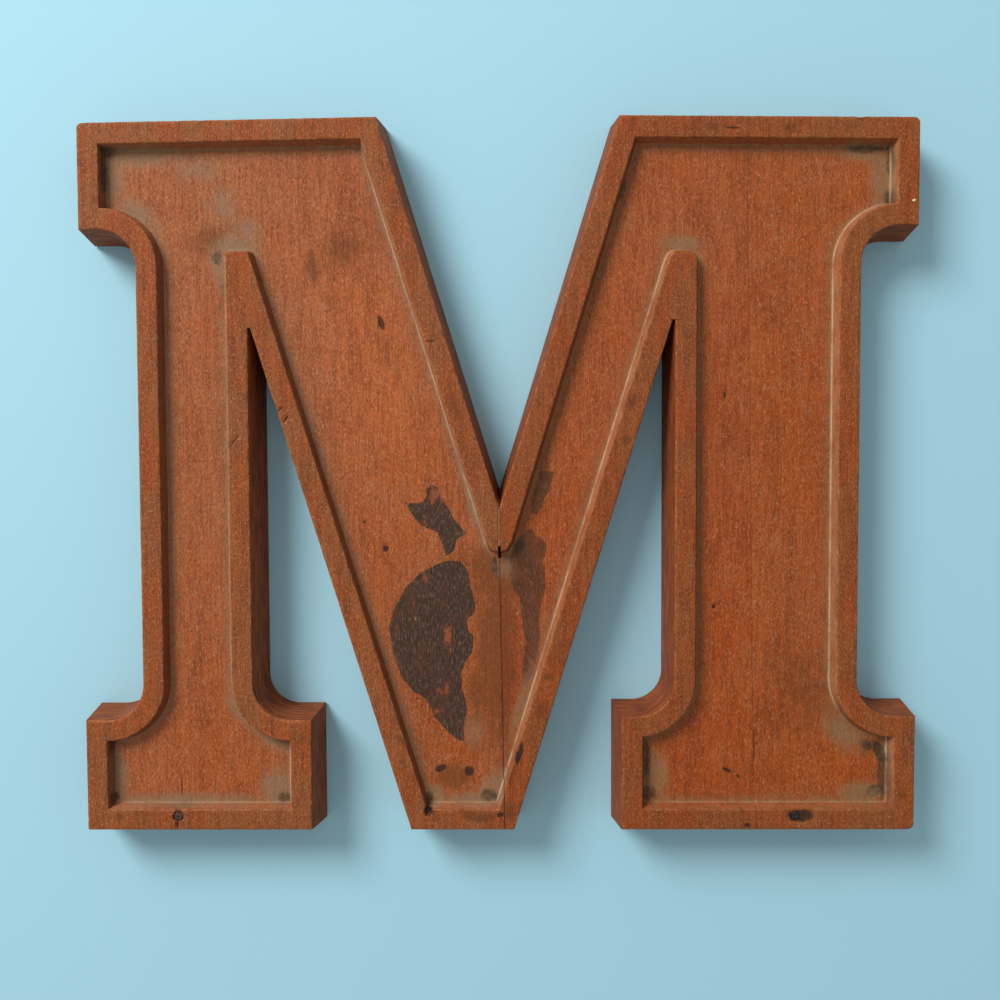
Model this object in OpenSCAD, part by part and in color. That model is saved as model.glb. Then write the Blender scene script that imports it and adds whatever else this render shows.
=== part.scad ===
// Painted wooden sign letter M, sawn and routed from a glued-up panel.
// It lies on its back: +X to the reader's right, +Y up the letter, +Z out of the face.
// All outline sizes are taken on the face.

/* [Board] */
// Thickness of the boards
board_t = 19; // [16:0.5:25]
// Lean of the sawn outer edges, outwards to the back
edge_draft = 6; // [1:0.5:9]
// Place of the centre glue joint, from the bottom of the V notch
centre_joint_shift = -0.2; // [-0.5:0.1:0.5]
// Width of the outer board within the thick stem, at half height
outer_strip_w = 37.2; // [34:0.1:48]
// Slant of both glue joints
joint_skew = 0.9; // [0:0.1:2]

/* [Letter] */
// Height of the letter
letter_h = 254; // [235:1:275]
// Distance across the outer sides of the two stems
stem_span = 256.2; // [250:0.2:264]
// Width of the thin left stem
thin_stem_w = 39.4; // [34:0.1:45]
// Width of the thick right stem
thick_stem_w = 65.1; // [60:0.1:70]
// Width of the thick diagonal, square across
thick_diagonal_w = 65; // [60:0.1:68]
// Width of the thin diagonal, square across
thin_diagonal_w = 39; // [34:0.1:44]
// Angle of the diagonals from upright
diagonal_angle = 17.2; // [16:0.1:18]
// Depth of the V notch
notch_depth = 138.2; // [128:0.1:148]
// Sideways place of the bottom of the V notch
notch_x = 0.4; // [-2:0.1:2]
// Fall of the top edge towards its outer corners
top_fall = 0.75; // [0.25:0.05:1.5]

/* [Serifs and feet] */
// Reach of a top serif beyond its stem
serif_reach = 20; // [14:0.1:24]
// Height of a top serif
serif_h = 38.5; // [32:0.1:45]
// Reach of a foot beyond its stem
foot_reach = 21; // [16:0.1:24]
// Reach of the right foot towards the V
short_reach = 18.8; // [15:0.1:20]
// Height of the left foot
left_foot_h = 40; // [34:0.1:46]
// Height of the right foot
right_foot_h = 41.1; // [34:0.1:46]
// Radius between a stem and its foot or serif
bracket_r = 13.3; // [8:0.1:14]
// Radius of the worn outer corners
corner_r = 2; // [1:0.1:4]
// Width left by the saw where a counter ends
kerf_w = 1; // [0.4:0.1:2]

/* [Recess] */
// Width of the raised rim
rim_w = 7.5; // [6:0.1:9]
// Depth of the sunk face
recess_d = 4.7; // [3:0.1:8]
// Lean of the rim's inner walls
wall_lean = 12; // [2:0.5:20]
// Radius of the rim below the V notch
nub_r = 4.2; // [2:0.1:6]
// Length of the tongue of rim above the left counter
left_tongue_l = 27; // [20:0.1:32]
// Length of the tongue of rim above the right counter
right_tongue_l = 23.9; // [20:0.1:32]
// Corner radius of the left tongue
left_tongue_r = 1.2; // [0.6:0.1:3]
// Corner radius of the right tongue
right_tongue_r = 3; // [0.6:0.1:3.6]

/* [Open joint] */
// Width of the open part of the centre joint
slot_w = 1.1; // [0.6:0.1:2]
// Depth of the open part below the face
slot_d = 9; // [6:0.5:14]
// Reach of the open part past the rim, into the sunk face
slot_over = 2.4; // [0.5:0.1:5]
// Length of the filler below the V notch
filler_l = 10; // [6:0.1:14]

/* [Nails] */
// Shank diameter
nail_d = 1.8; // [1.2:0.1:2.4]
// Head diameter
nail_head_d = 3.4; // [2.8:0.1:4.5]
// Head thickness
nail_head_t = 1; // [0.6:0.1:1.5]
// Length under the head
nail_l = 13; // [8:0.5:14]
// Length of the point
nail_point = 2.5; // [1:0.1:4]
// Distance of the nails from the bottom edge
nail_edge = 4.9; // [4.2:0.1:5.4]
// Distance of the left foot's nail from the outer side of its stem
left_nail_inset = 11.8; // [6:0.1:18]
// Distance of the right foot's nail from the outer side of its stem
right_nail_inset = 21.3; // [14:0.1:24]
// Place of the V's nail from the side of its foot
v_nail_inset = 6.1; // [5:0.1:12]
// Height of the V's nail above the others
v_nail_rise = 2; // [0:0.1:3]
// Depth of the heads below the face
nail_sink = 0.4; // [0.2:0.1:1]
// Depth of the broken nail below the face
stump_sink = 1.6; // [0.8:0.1:3]
// Width of the torn hole round the broken nail
torn_hole_d = 3; // [2.6:0.1:4]
// Gap between a nail and its hole
nail_gap = 0.05; // [0.02:0.01:0.1]
// Length of the worn pocket round the right nail
pocket_l = 10.7; // [8:0.1:14]
// Reach of the pocket to the left of the nail
pocket_lead = 3.6; // [2.5:0.1:5]
// Width of rim left below the pocket
pocket_edge = 2.3; // [1:0.1:3]
// Depth of the worn pocket
pocket_d = 0.8; // [0.3:0.1:1.2]

/* [Hidden] */
$fn = 64;
reach = 400;
margin = 1;
hair = 0.004;
top_y = letter_h / 2;
bottom_y = -letter_h / 2;
stem_x = stem_span / 2;
left_inner_x = thin_stem_w - stem_x;
right_inner_x = stem_x - thick_stem_w;
serif_y = top_y - serif_h;
left_foot_y = bottom_y + left_foot_h;
right_foot_y = bottom_y + right_foot_h;
notch_y = top_y - notch_depth;
// Facings of the diagonals' sides, as angles of the way that each side looks
notch_left = diagonal_angle;
notch_right = 180 - diagonal_angle;
counter_left = 180 + diagonal_angle;
counter_right = 360 - diagonal_angle;
// Points on the diagonals' outer sides, level with the bottom of the notch
thick_side_x = notch_x - thick_diagonal_w / cos(diagonal_angle);
thin_side_x = notch_x + thin_diagonal_w / cos(diagonal_angle);
// Heights at which the two counters narrow down to the saw's width
left_counter_y = notch_y + (thick_side_x - left_inner_x - kerf_w) / tan(diagonal_angle);
right_counter_y = notch_y + (right_inner_x - kerf_w - thin_side_x) / tan(diagonal_angle);
// The top's highest points lie at the corners of the notch
shoulder = notch_depth * tan(diagonal_angle);
left_tongue_y = left_counter_y + left_tongue_l;
right_tongue_y = right_counter_y + right_tongue_l;
// Middle of the round below the notch
nub_y = notch_y - (rim_w - nub_r) / sin(diagonal_angle);
centre_joint_x = notch_x + centre_joint_shift;
outer_joint_x = stem_x - outer_strip_w;
slot_l = notch_y - nub_y + nub_r + slot_over;
nail_y = bottom_y + nail_edge;
left_nail_x = left_nail_inset - stem_x;
right_nail_x = stem_x - right_nail_inset;
v_nail_x = thick_side_x + (notch_y - bottom_y) * tan(diagonal_angle) + v_nail_inset;
v_nail_y = nail_y + v_nail_rise;
floor_z = board_t - recess_d;

// Everything behind a side of the wood, which passes through a point of the face and looks along
// an angle. The side moves out by grow, and leans out by an angle towards the back.
module behind(x, y, looks, grow = 0, lean = 0) {
    translate([x, y, board_t])
        rotate([0, 0, looks])
            translate([grow, 0, 0])
                rotate([0, -lean, 0])
                    translate([-reach, -reach, -reach])
                        cube([reach, 2 * reach, 2 * reach]);
}

// Everything in front of such a side
module before(x, y, looks, grow = 0, lean = 0) {
    translate([x, y, board_t])
        rotate([0, 0, looks])
            translate([grow, 0, 0])
                rotate([0, -lean, 0])
                    translate([0, -reach, -reach])
                        cube([reach, 2 * reach, 2 * reach]);
}

// What a round takes off a corner between the directions from and to. The round is drawn a hair
// too large, so that it crosses both walls instead of only touching them.
module corner_off(x, y, r, from, to, lean) {
    difference() {
        intersection() {
            before(x, y, from + 90);
            before(x, y, to - 90);
        }
        translate([x, y, -margin])
            cylinder(h = board_t + 2 * margin,
                     r1 = r + hair - (board_t + margin) * tan(lean),
                     r2 = r + hair + margin * tan(lean));
    }
}

// Open space beside the left stem, between its serif and its foot
module left_waist(grow, lean) {
    r = bracket_r - grow;
    difference() {
        intersection() {
            before(-stem_x, 0, 180, grow, lean);
            before(0, serif_y, 270, grow, lean);
            before(0, left_foot_y, 90, grow, lean);
        }
        corner_off(-stem_x - bracket_r, serif_y - bracket_r, r, 0, 90, lean);
        corner_off(-stem_x - bracket_r, left_foot_y + bracket_r, r, 270, 360, lean);
    }
}

// Open space beside the right stem
module right_waist(grow, lean) {
    r = bracket_r - grow;
    difference() {
        intersection() {
            before(stem_x, 0, 0, grow, lean);
            before(0, serif_y, 270, grow, lean);
            before(0, right_foot_y, 90, grow, lean);
        }
        corner_off(stem_x + bracket_r, serif_y - bracket_r, r, 90, 180, lean);
        corner_off(stem_x + bracket_r, right_foot_y + bracket_r, r, 180, 270, lean);
    }
}

// Counter between the thin stem and the thick diagonal, open at the bottom
module left_counter(grow, lean) {
    difference() {
        intersection() {
            before(left_inner_x, 0, 0, grow, lean);
            before(thick_side_x, notch_y, counter_left, grow, lean);
            before(0, left_foot_y, 90, grow, lean);
        }
        corner_off(left_inner_x + bracket_r, left_foot_y + bracket_r, bracket_r - grow, 180, 270, lean);
    }
    intersection() {
        before(left_inner_x + foot_reach, 0, 0, grow, lean);
        before(thick_side_x, notch_y, counter_left, grow, lean);
        behind(0, left_foot_y + bracket_r, 90);
    }
}

// Counter between the thin diagonal and the thick stem
module right_counter(grow, lean) {
    difference() {
        intersection() {
            before(right_inner_x, 0, 180, grow, lean);
            before(thin_side_x, notch_y, counter_right, grow, lean);
            before(0, right_foot_y, 90, grow, lean);
        }
        corner_off(right_inner_x - bracket_r, right_foot_y + bracket_r, bracket_r - grow, 270, 360, lean);
    }
    intersection() {
        before(right_inner_x - short_reach, 0, 180, grow, lean);
        before(thin_side_x, notch_y, counter_right, grow, lean);
        behind(0, right_foot_y + bracket_r, 90);
    }
}

// V notch in the middle of the top
module notch(grow, lean) {
    intersection() {
        before(notch_x, notch_y, notch_left, grow, lean);
        before(notch_x, notch_y, notch_right, grow, lean);
    }
}

// The whole letter without its voids, with every side moved out by grow
module envelope(grow, lean) {
    intersection() {
        behind(-stem_x - foot_reach, 0, 180, grow, lean);
        behind(stem_x + foot_reach, 0, 0, grow, lean);
        behind(0, bottom_y, 270, grow, lean);
        behind(notch_x - shoulder, top_y, 90 + top_fall, grow, lean);
        behind(notch_x + shoulder, top_y, 90 - top_fall, grow, lean);
    }
}

// The serifs end a little short of the feet
module serif_ends(grow, lean) {
    intersection() {
        before(-stem_x - serif_reach, 0, 180, grow, lean);
        before(0, 0, 90);
    }
    intersection() {
        before(stem_x + serif_reach, 0, 0, grow, lean);
        before(0, 0, 90);
    }
}

// What wear takes off the two outer top corners and the lower right one
module worn_corners() {
    serif_x = stem_x + serif_reach - corner_r;
    foot_x = stem_x + foot_reach - corner_r;
    left_y = top_y - (serif_x + notch_x - shoulder) * tan(top_fall) - corner_r / cos(top_fall);
    right_y = top_y - (serif_x - notch_x - shoulder) * tan(top_fall) - corner_r / cos(top_fall);
    corner_off(-serif_x, left_y, corner_r, 90 + top_fall, 180, -edge_draft);
    corner_off(serif_x, right_y, corner_r, 0, 90 - top_fall, -edge_draft);
    corner_off(foot_x, bottom_y + corner_r, corner_r, 270, 360, -edge_draft);
}

// Solid letter with sawn sides
module sawn_letter() {
    difference() {
        intersection() {
            envelope(0, edge_draft);
            translate([-reach, -reach, 0])
                cube([2 * reach, 2 * reach, board_t]);
        }
        serif_ends(0, edge_draft);
        left_waist(0, edge_draft);
        right_waist(0, edge_draft);
        intersection() {
            left_counter(0, edge_draft);
            behind(0, left_counter_y, 90);
        }
        intersection() {
            right_counter(0, edge_draft);
            behind(0, right_counter_y, 90);
        }
        notch(0, edge_draft);
        worn_corners();
    }
}

// Rim round the left counter, which ends above in a tongue with a flat top
module left_tongue() {
    r = left_tongue_r;
    y = left_tongue_y - r;
    side_x = thick_side_x + rim_w / cos(diagonal_angle) - (y - notch_y) * tan(diagonal_angle);
    difference() {
        intersection() {
            left_counter(-rim_w, -wall_lean);
            before(0, left_tongue_y, 270, 0, -wall_lean);
        }
        corner_off(left_inner_x - rim_w + r, y, r, 90, 180, -wall_lean);
        corner_off(side_x - r / cos(diagonal_angle), y, r, diagonal_angle, 90, -wall_lean);
    }
}

// Rim round the right counter, with a rounder tongue
module right_tongue() {
    r = right_tongue_r;
    y = right_tongue_y - r;
    side_x = thin_side_x - rim_w / cos(diagonal_angle) + (y - notch_y) * tan(diagonal_angle);
    difference() {
        intersection() {
            right_counter(-rim_w, -wall_lean);
            before(0, right_tongue_y, 270, 0, -wall_lean);
        }
        corner_off(right_inner_x + rim_w - r, y, r, 0, 90, -wall_lean);
        corner_off(side_x + r / cos(diagonal_angle), y, r, 90, 180 - diagonal_angle, -wall_lean);
    }
}

// Rim below the V notch, which ends in a round nub
module nub() {
    difference() {
        notch(-rim_w, -wall_lean);
        corner_off(notch_x, nub_y, nub_r, counter_left, counter_right, -wall_lean);
    }
}

// Sunk face inside the rim, as the solid that the router takes out
module recess() {
    difference() {
        intersection() {
            envelope(-rim_w, -wall_lean);
            translate([-reach, -reach, floor_z])
                cube([2 * reach, 2 * reach, recess_d + margin]);
        }
        serif_ends(-rim_w, -wall_lean);
        left_waist(-rim_w, -wall_lean);
        right_waist(-rim_w, -wall_lean);
        left_tongue();
        right_tongue();
        nub();
    }
}

// Space along the centre joint, from the V notch down by a length
module joint_slot(l) {
    translate([centre_joint_x, notch_y, board_t - slot_d])
        rotate([0, 0, joint_skew])
            translate([-slot_w / 2, -l, 0])
                cube([slot_w, reach, slot_d + margin]);
}

// Hole for a nail whose head, or broken end, lies a depth below the face
module nail_hole(x, y, mouth_d, sink, head_t) {
    translate([x, y, board_t - sink - head_t]) {
        cylinder(h = sink + head_t + margin, d = mouth_d + 2 * nail_gap);
        translate([0, 0, -nail_l - nail_gap])
            cylinder(h = nail_l + margin, d = nail_d + 2 * nail_gap);
    }
}

module nail_shank(x, y, z) {
    translate([x, y, z - nail_l]) {
        translate([0, 0, nail_point])
            cylinder(h = nail_l - nail_point, d = nail_d);
        cylinder(h = nail_point, d1 = nail_d / 5, d2 = nail_d);
    }
}

module headed_nail(x, y) {
    translate([x, y, board_t - nail_sink - nail_head_t])
        cylinder(h = nail_head_t, d = nail_head_d);
    nail_shank(x, y, board_t - nail_sink - nail_head_t);
}

module left_board() {
    color("#b5592f")
        difference() {
            intersection() {
                sawn_letter();
                behind(centre_joint_x, notch_y, joint_skew);
            }
            recess();
            joint_slot(slot_l);
            nail_hole(left_nail_x, nail_y, nail_head_d, nail_sink, nail_head_t);
            nail_hole(v_nail_x, v_nail_y, torn_hole_d, stump_sink, 0);
        }
}

module inner_board() {
    color("#ad532b")
        difference() {
            intersection() {
                sawn_letter();
                before(centre_joint_x, notch_y, joint_skew);
                behind(outer_joint_x, 0, joint_skew);
            }
            recess();
            joint_slot(slot_l);
        }
}

module outer_board() {
    color("#b8602f")
        difference() {
            intersection() {
                sawn_letter();
                before(outer_joint_x, 0, joint_skew);
            }
            recess();
            nail_hole(right_nail_x, nail_y, nail_head_d, nail_sink, nail_head_t);
            translate([right_nail_x - pocket_lead, bottom_y + pocket_edge, board_t - pocket_d])
                cube([pocket_l, rim_w, pocket_d + margin]);
        }
}

module joint_filler() {
    color("#c9a274")
        difference() {
            intersection() {
                sawn_letter();
                joint_slot(filler_l);
            }
            recess();
        }
}

module left_foot_nail() {
    color("#4b3b33") headed_nail(left_nail_x, nail_y);
}

module right_foot_nail() {
    color("#221d1b") headed_nail(right_nail_x, nail_y);
}

module v_foot_nail() {
    color("#2b2420") nail_shank(v_nail_x, v_nail_y, board_t - stump_sink);
}

left_board();
inner_board();
outer_board();
joint_filler();
left_foot_nail();
right_foot_nail();
v_foot_nail();
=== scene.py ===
import math
import random

import bmesh
import bpy
import numpy as np
from mathutils import Matrix, Vector, kdtree, noise
from mathutils.geometry import delaunay_2d_cdt


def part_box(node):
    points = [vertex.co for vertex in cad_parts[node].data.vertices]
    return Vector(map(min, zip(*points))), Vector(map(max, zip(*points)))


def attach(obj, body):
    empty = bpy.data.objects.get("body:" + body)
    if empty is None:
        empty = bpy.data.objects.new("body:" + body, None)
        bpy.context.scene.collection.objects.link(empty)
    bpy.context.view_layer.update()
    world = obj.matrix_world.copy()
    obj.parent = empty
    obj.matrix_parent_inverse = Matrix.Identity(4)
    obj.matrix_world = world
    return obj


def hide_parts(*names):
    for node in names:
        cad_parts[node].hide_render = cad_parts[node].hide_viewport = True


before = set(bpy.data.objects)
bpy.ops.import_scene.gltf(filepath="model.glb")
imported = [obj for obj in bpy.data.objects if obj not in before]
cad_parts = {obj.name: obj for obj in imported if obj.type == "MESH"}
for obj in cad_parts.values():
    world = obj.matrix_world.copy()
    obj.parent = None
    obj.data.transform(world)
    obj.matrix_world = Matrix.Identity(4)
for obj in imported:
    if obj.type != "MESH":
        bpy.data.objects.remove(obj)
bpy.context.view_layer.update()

# A wooden sign letter lying on its back. Lengths below are in millimetres unless they say otherwise.
mm = 0.001
body = "root"
scene = bpy.context.scene
rng = random.Random(26)

# Camera, straight above the letter
cameraLook = {
    "place": (3.85, 6.38, 362.18),
    "turn": (-2.365, 0.523, -0.202),  # degrees about X, Y and Z
    "lens": 34.73,
    "sensor": 36.0,
    "picture": 1000,  # pixels across the picture that places are read from
}


def cameraTurn():
    x, y, z = (math.radians(a) for a in cameraLook["turn"])
    return Matrix.Rotation(x, 3, "X") @ Matrix.Rotation(y, 3, "Y") @ Matrix.Rotation(z, 3, "Z")


def makeCamera():
    data = bpy.data.cameras.new("camera")
    data.lens = cameraLook["lens"]
    data.sensor_width = cameraLook["sensor"]
    data.clip_start = 0.01
    data.clip_end = 50
    camera = bpy.data.objects.new("camera", data)
    scene.collection.objects.link(camera)
    place = Vector(cameraLook["place"]) * mm
    camera.matrix_world = Matrix.Translation(place) @ cameraTurn().to_4x4()
    scene.camera = camera


def placeOn(px, py, z):
    # where a picture point lands on a level z of the letter
    half = cameraLook["picture"] / 2
    focal = cameraLook["lens"] / cameraLook["sensor"] * cameraLook["picture"]
    ray = cameraTurn() @ Vector(((px - half) / focal, (half - py) / focal, -1))
    start = Vector(cameraLook["place"])
    reach = (z - start.z) / ray.z
    return start.x + reach * ray.x, start.y + reach * ray.y


makeCamera()
scene.view_settings.view_transform = "Standard"
print("camera ready")

# The letter's outline on its face
letter = {
    "thick": 19.0,
    "draft": 6.0,
    "height": 254.0,
    "span": 256.2,
    "thinStem": 39.4,
    "thickStem": 65.1,
    "thickDiagonal": 65.0,
    "thinDiagonal": 39.0,
    "slope": 17.2,
    "notchDepth": 138.2,
    "notchX": 0.4,
    "topFall": 0.75,
    "serifReach": 20.0,
    "serifHeight": 38.5,
    "footReach": 21.0,
    "shortReach": 18.8,
    "leftFoot": 40.0,
    "rightFoot": 41.1,
    "bracket": 13.3,
    "wornCorner": 2.0,
    "kerf": 1.0,
    "arris": 0.55,
    "step": 1.4,  # spacing of the mesh along the edges
}
recess = {
    "rim": 7.5,
    "depth": 4.7,
    "lean": 12.0,
    "nub": 4.2,
    "leftTongue": 27.0,
    "rightTongue": 23.9,
    "leftTongueRound": 1.2,
    "rightTongueRound": 3.0,
    "arris": 0.45,
    "fillet": 0.7,
}
joints = {
    "centreShift": -0.2,
    "outerStrip": 37.2,
    "skew": 0.9,
    "slotWide": 1.1,
    "slotDeep": 9.0,
    "slotOver": 2.4,
    "grooveWide": 0.3,
    "centreGroove": 0.3,
    "outerGroove": 0.12,
}
nails = {
    "shank": 1.8,
    "head": 3.4,
    "headThick": 1.0,
    "long": 13.0,
    "point": 2.5,
    "edge": 4.9,
    "leftInset": 11.8,
    "rightInset": 21.3,
    "vInset": 6.1,
    "vRise": 2.0,
    "sink": 0.4,
    "stumpSink": 1.6,
    "gap": 0.05,
}
pocket = {"long": 10.7, "lead": 3.6, "edge": 2.3, "deep": 0.8}

slope = math.radians(letter["slope"])
topY = letter["height"] / 2
bottomY = -topY
stemX = letter["span"] / 2
leftInnerX = letter["thinStem"] - stemX
rightInnerX = stemX - letter["thickStem"]
serifY = topY - letter["serifHeight"]
leftFootY = bottomY + letter["leftFoot"]
rightFootY = bottomY + letter["rightFoot"]
notchX = letter["notchX"]
notchY = topY - letter["notchDepth"]
thickSideX = notchX - letter["thickDiagonal"] / math.cos(slope)
thinSideX = notchX + letter["thinDiagonal"] / math.cos(slope)
leftCounterY = notchY + (thickSideX - leftInnerX - letter["kerf"]) / math.tan(slope)
rightCounterY = notchY + (rightInnerX - letter["kerf"] - thinSideX) / math.tan(slope)
shoulder = letter["notchDepth"] * math.tan(slope)
faceZ = letter["thick"]
floorZ = faceZ - recess["depth"]
nubY = notchY - (recess["rim"] - recess["nub"]) / math.sin(slope)
jointX = notchX + joints["centreShift"]
outerJointX = stemX - joints["outerStrip"]
slotLong = notchY - nubY + recess["nub"] + joints["slotOver"]
nailY = bottomY + nails["edge"]
leftNail = (nails["leftInset"] - stemX, nailY)
rightNail = (stemX - nails["rightInset"], nailY)
vNail = (thickSideX + (notchY - bottomY) * math.tan(slope) + nails["vInset"], nailY + nails["vRise"])


def side(x, y, looks, corner=0.0, ends=False):
    # a straight side through a point, the way it looks, and the round at its end
    way = math.radians(looks)
    return {"x": x, "y": y, "nx": math.cos(way), "ny": math.sin(way), "corner": corner, "ends": ends}


def letterSides():
    # anticlockwise from the bottom of the left foot
    d = letter
    br = d["bracket"]
    worn = d["wornCorner"]
    tilt = d["slope"]
    return [
        side(0, bottomY, 270),
        side(leftInnerX + d["footReach"], 0, 0),
        side(0, leftFootY, 90, br),
        side(leftInnerX, 0, 0),
        side(0, leftCounterY, 270, ends=True),
        side(thickSideX, notchY, 180 + tilt),
        side(0, bottomY, 270),
        side(thinSideX, notchY, 360 - tilt),
        side(0, rightCounterY, 270, ends=True),
        side(rightInnerX, 0, 180, br),
        side(0, rightFootY, 90),
        side(rightInnerX - d["shortReach"], 0, 180),
        side(0, bottomY, 270, worn),
        side(stemX + d["footReach"], 0, 0),
        side(0, rightFootY, 90, br),
        side(stemX, 0, 0, br),
        side(0, serifY, 270),
        side(stemX + d["serifReach"], 0, 0, worn),
        side(notchX + shoulder, topY, 90 - d["topFall"]),
        side(notchX, notchY, 180 - tilt),
        side(notchX, notchY, tilt),
        side(notchX - shoulder, topY, 90 + d["topFall"], worn),
        side(-stemX - d["serifReach"], 0, 180),
        side(0, serifY, 270, br),
        side(-stemX, 0, 180, br),
        side(0, leftFootY, 90),
        side(-stemX - d["footReach"], 0, 180),
    ]


def recessSides():
    # the same sides moved in by the rim, with the tongues and the nub
    rim = recess["rim"]
    sides = letterSides()
    for s in sides:
        s["x"] -= rim * s["nx"]
        s["y"] -= rim * s["ny"]
        s["corner"] = s["corner"] + rim if s["corner"] > letter["wornCorner"] else 0.0
        s["ends"] = False
    for k, counterY, tongue, tongueRound in (
        (4, leftCounterY, recess["leftTongue"], recess["leftTongueRound"]),
        (8, rightCounterY, recess["rightTongue"], recess["rightTongueRound"]),
    ):
        sides[k] = side(0, counterY + tongue, 270, tongueRound)
        sides[k - 1]["corner"] = tongueRound
    sides[19]["corner"] = recess["nub"]
    return sides


def crossing(a, b, grow):
    # where two sides meet when both are moved out by grow
    ca = a["nx"] * a["x"] + a["ny"] * a["y"] + (0 if a["ends"] else grow)
    cb = b["nx"] * b["x"] + b["ny"] * b["y"] + (0 if b["ends"] else grow)
    det = a["nx"] * b["ny"] - a["ny"] * b["nx"]
    return np.array([(ca * b["ny"] - cb * a["ny"]) / det, (a["nx"] * cb - b["nx"] * ca) / det])


def ringCounts(sides):
    # how many points each side and each corner has, the same on every ring
    n = len(sides)
    at = [crossing(sides[k], sides[(k + 1) % n], 0) for k in range(n)]
    straight = []
    rounds = []
    for k, s in enumerate(sides):
        straight.append(max(1, round(np.linalg.norm(at[k] - at[k - 1]) / letter["step"])))
        t = sides[(k + 1) % n]
        turn = abs(math.asin(max(-1, min(1, s["nx"] * t["ny"] - s["ny"] * t["nx"]))))
        rounds.append(max(4, round(turn * s["corner"] / letter["step"])) if s["corner"] else 0)
    return straight, rounds


def ringOf(sides, counts, grow):
    n = len(sides)
    at = [crossing(sides[k], sides[(k + 1) % n], grow) for k in range(n)]
    for k, s in enumerate(sides):
        along = np.array([-s["ny"], s["nx"]])
        if s["ends"] and np.dot(at[k] - at[k - 1], along) < 0:  # the saw cut has closed up
            at[k] = at[k - 1] = crossing(sides[k - 1], sides[(k + 1) % n], grow)
    starts = [None] * n
    ends = list(at)
    arcs = [None] * n
    for k, s in enumerate(sides):
        t = sides[(k + 1) % n]
        starts[(k + 1) % n] = at[k]
        if not s["corner"]:
            continue
        det = s["nx"] * t["ny"] - s["ny"] * t["nx"]
        bend = 1 if det > 0 else -1
        r = s["corner"] + bend * grow
        turn = math.atan2(det, s["nx"] * t["nx"] + s["ny"] * t["ny"])
        back = r * math.tan(abs(turn) / 2)
        ends[k] = at[k] - back * np.array([-s["ny"], s["nx"]])
        starts[(k + 1) % n] = at[k] + back * np.array([-t["ny"], t["nx"]])
        middle = ends[k] - bend * r * np.array([s["nx"], s["ny"]])
        first = math.atan2(bend * s["ny"], bend * s["nx"])
        m = counts[1][k]
        arcs[k] = [middle + r * np.array([math.cos(first + turn * j / m), math.sin(first + turn * j / m)])
                   for j in range(m)]
    ring = []
    for k in range(n):
        m = counts[0][k]
        ring += [starts[k] + (ends[k] - starts[k]) * j / m for j in range(m)]
        if arcs[k]:
            ring += arcs[k]
    return np.array(ring)


def inside(points, loop):
    # which points lie inside a closed loop
    x, y = points[:, 0], points[:, 1]
    found = np.zeros(len(points), bool)
    for (ax, ay), (bx, by) in zip(loop, np.roll(loop, -1, axis=0)):
        if ay == by:
            continue
        hit = (ay > y) != (by > y)
        found ^= hit & (x < (bx - ax) * (y - ay) / (by - ay) + ax)
    return found


# Marks that have some depth, where they lie in the picture. Sizes are half widths and half heights.
hollows = {
    "ovalChip": {"at": (381, 323), "z": floorZ, "size": (1.2, 2.9), "turn": 18, "deep": 0.35},
    "knot": {"at": (386, 548), "z": floorZ, "size": (1.2, 1.2), "turn": 0, "deep": 0.3},
    "lowChip": {"at": (874, 792), "z": floorZ, "size": (2.4, 2.2), "turn": 20, "deep": 0.3},
    "footWedge": {"at": (874, 750), "z": floorZ, "size": (3.2, 4.6), "turn": -38, "deep": 0.3},
    "blackHole": {"at": (714, 607), "z": floorZ, "size": (0.7, 0.9), "turn": 0, "deep": 0.7},
    "rightHole": {"at": (725, 395), "z": floorZ, "size": (0.5, 1.4), "turn": 0, "deep": 0.4},
    "edgeNotchA": {"at": (279, 410), "z": faceZ, "size": (1.6, 0.5), "turn": 35, "deep": 0.5},
    "edgeNotchB": {"at": (285, 420), "z": faceZ, "size": (2.0, 0.45), "turn": 50, "deep": 0.45},
    "pockA": {"at": (425, 341), "z": faceZ, "size": (1.0, 0.4), "turn": 0, "deep": 0.3},
    "pockB": {"at": (434, 340), "z": faceZ, "size": (1.1, 0.4), "turn": 0, "deep": 0.3},
    "topDot": {"at": (791, 128), "z": faceZ, "size": (1.3, 0.9), "turn": 0, "deep": 0.2},
    "topDash": {"at": (733, 127), "z": faceZ, "size": (2.7, 0.5), "turn": 0, "deep": 0.3},
    "topEdgeChip": {"at": (862, 115), "z": faceZ, "size": (1.2, 1.0), "turn": 0, "deep": 0.6},
    "rimSlot": {"at": (520, 754), "z": faceZ, "size": (0.9, 5.0), "turn": 20, "deep": 0.35},
    "footCrack": {"at": (161, 741), "z": faceZ, "size": (0.4, 2.8), "turn": 38, "deep": 0.4},
    "nailCrack": {"at": (177, 810), "z": faceZ, "size": (1.9, 0.35), "turn": 0, "deep": 0.4},
    "nailDrop": {"at": (177, 825), "z": faceZ, "size": (0.6, 1.5), "turn": 0, "deep": 0.5},
    "vGouge": {"at": (468, 809), "z": faceZ, "size": (9.0, 0.5), "turn": 0, "deep": 0.25},
    "tongueScratch": {"at": (234, 441), "z": faceZ, "size": (0.4, 4.0), "turn": -38, "deep": 0.25},
    "tongueScratch2": {"at": (229, 446), "z": faceZ, "size": (0.35, 1.8), "turn": -38, "deep": 0.25},
}
for hollow in hollows.values():
    hollow["x"], hollow["y"] = placeOn(*hollow["at"], hollow["z"])


def inHollow(hollow, x, y):
    # distance from a hollow's middle, where 1 is its edge
    a = math.radians(hollow["turn"])
    dx, dy = x - hollow["x"], y - hollow["y"]
    u = dx * math.cos(a) + dy * math.sin(a)
    v = -dx * math.sin(a) + dy * math.cos(a)
    return np.hypot(u / hollow["size"][0], v / hollow["size"][1])


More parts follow.
